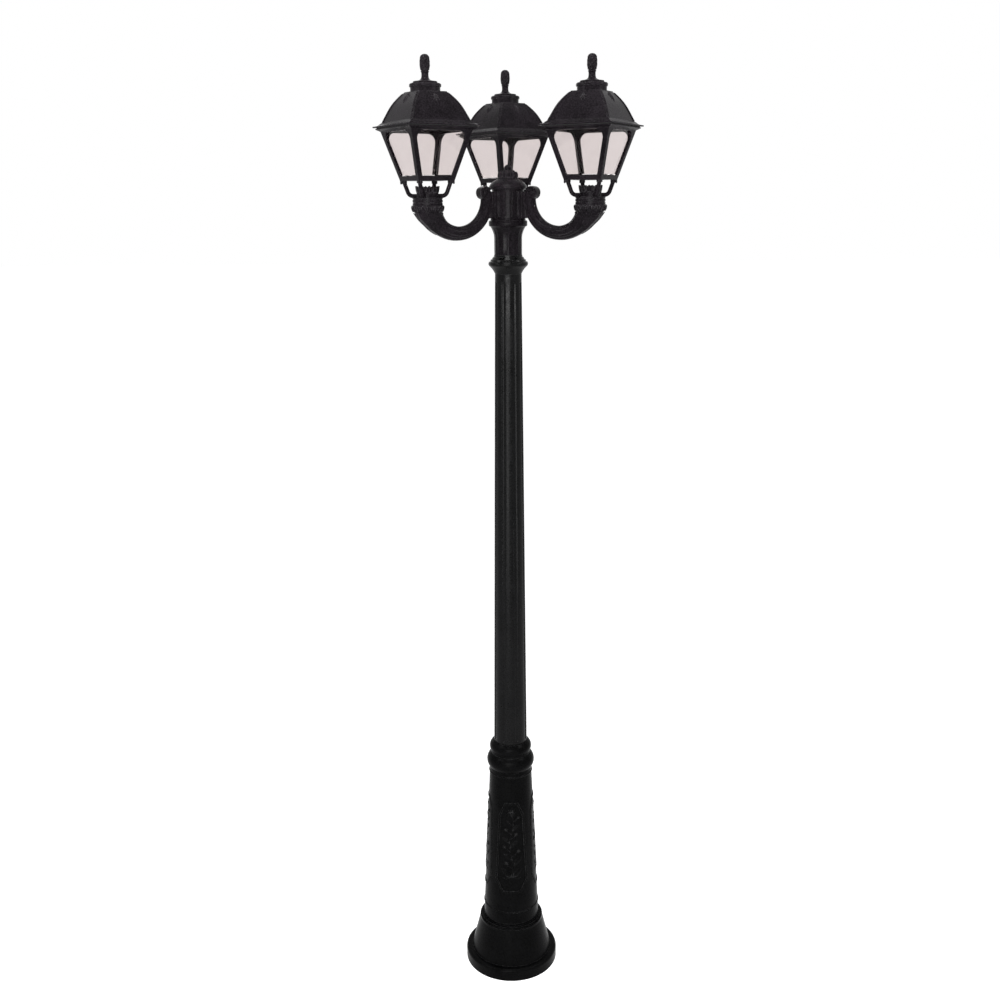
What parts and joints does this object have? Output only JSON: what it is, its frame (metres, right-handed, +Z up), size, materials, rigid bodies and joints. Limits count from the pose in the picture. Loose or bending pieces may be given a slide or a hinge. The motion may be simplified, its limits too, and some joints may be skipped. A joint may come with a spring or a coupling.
{
  "type": "triple head lamp post",
  "caption": "Free-standing garden lamp post: fluted column on a round foot, scrolled arms with square lanterns under ogee roofs that turn on their spigots and lift off.",
  "frame": {"origin": "centre of the foot's underside, on the post's axis", "axes": "+Z up along the post, +Y towards the rear lantern"},
  "size_m": [0.652, 0.6016, 2.5075],
  "materials": {
    "black_resin": "moulded black resin with a fine satin grain",
    "galvanised_steel": "galvanised",
    "stainless_steel": "satin",
    "blackened_steel": "black oxide",
    "cream_plastic": "satin",
    "tinted_clear": "clear moulded acrylic with a faint warm grey tint",
    "black_rubber": "matt",
    "white_enamel": "gloss white",
    "white_plastic": "satin",
    "lamp_diffuser": "opal, unlit"
  },
  "bodies": {
    "post": {"anchor_plate": "galvanised_steel", "core_tube": "galvanised_steel", "foot": "black_resin", "pedestal": "black_resin", "lower_collar": "black_resin", "column": "black_resin", "upper_collar": "black_resin", "neck": "black_resin", "hub_drum": "black_resin", "hub_cap": "black_resin", "crown": "black_resin", "crown_stud": "galvanised_steel", "terminal_block": "cream_plastic", "arm_bolts": "stainless_steel", "arm_rear": "black_resin", "arm_left": "black_resin", "arm_right": "black_resin"},
    "lantern_rear": {"holder_rear": "black_resin", "calyx_cup_rear": "black_resin", "grub_screws_rear": "blackened_steel", "corner_screws_rear": "stainless_steel", "cage_rear": "black_resin", "panes_rear": "tinted_clear", "gasket_rear": "black_rubber"},
    "lid_rear": {"roof_rear": "black_resin", "chimney_rear": "black_resin", "finial_rear": "black_resin", "gear_tray_rear": "white_enamel", "tray_screws_rear": "stainless_steel", "lampholder_rear": "white_plastic"},
    "lamp_rear": {"disc_lamp_rear": "lamp_diffuser"},
    "lantern_left": {"holder_left": "black_resin", "calyx_cup_left": "black_resin", "grub_screws_left": "blackened_steel", "corner_screws_left": "stainless_steel", "cage_left": "black_resin", "panes_left": "tinted_clear", "gasket_left": "black_rubber"},
    "lid_left": {"roof_left": "black_resin", "chimney_left": "black_resin", "finial_left": "black_resin", "gear_tray_left": "white_enamel", "tray_screws_left": "stainless_steel", "lampholder_left": "white_plastic"},
    "lamp_left": {"disc_lamp_left": "lamp_diffuser"},
    "lantern_right": {"holder_right": "black_resin", "calyx_cup_right": "black_resin", "grub_screws_right": "blackened_steel", "corner_screws_right": "stainless_steel", "cage_right": "black_resin", "panes_right": "tinted_clear", "gasket_right": "black_rubber"},
    "lid_right": {"roof_right": "black_resin", "chimney_right": "black_resin", "finial_right": "black_resin", "gear_tray_right": "white_enamel", "tray_screws_right": "stainless_steel", "lampholder_right": "white_plastic"},
    "lamp_right": {"disc_lamp_right": "lamp_diffuser"}
  },
  "joints": [
    {"name": "lantern_swivel_rear", "type": "hinge", "parent": "post", "child": "lantern_rear", "pos_m": [0, 0.2266, 2.165], "axis": [0, 0, 1], "range_deg": [-180, 180]},
    {"name": "roof_lift_rear", "type": "slide", "parent": "lantern_rear", "child": "lid_rear", "axis": [0, 0, 1], "range_m": [0, 0.12]},
    {"name": "lamp_twist_rear", "type": "hinge", "parent": "lid_rear", "child": "lamp_rear", "pos_m": [0, 0.2266, 2.3568], "axis": [0, 0, 1], "range_deg": [0, 15]},
    {"name": "lantern_swivel_left", "type": "hinge", "parent": "post", "child": "lantern_left", "pos_m": [-0.19624, -0.1133, 2.165], "axis": [0, 0, 1], "range_deg": [-180, 180]},
    {"name": "roof_lift_left", "type": "slide", "parent": "lantern_left", "child": "lid_left", "axis": [0, 0, 1], "range_m": [0, 0.12]},
    {"name": "lamp_twist_left", "type": "hinge", "parent": "lid_left", "child": "lamp_left", "pos_m": [-0.19624, -0.1133, 2.3568], "axis": [0, 0, 1], "range_deg": [0, 15]},
    {"name": "lantern_swivel_right", "type": "hinge", "parent": "post", "child": "lantern_right", "pos_m": [0.19624, -0.1133, 2.165], "axis": [0, 0, 1], "range_deg": [-180, 180]},
    {"name": "roof_lift_right", "type": "slide", "parent": "lantern_right", "child": "lid_right", "axis": [0, 0, 1], "range_m": [0, 0.12]},
    {"name": "lamp_twist_right", "type": "hinge", "parent": "lid_right", "child": "lamp_right", "pos_m": [0.19624, -0.1133, 2.3568], "axis": [0, 0, 1], "range_deg": [0, 15]}
  ]
}
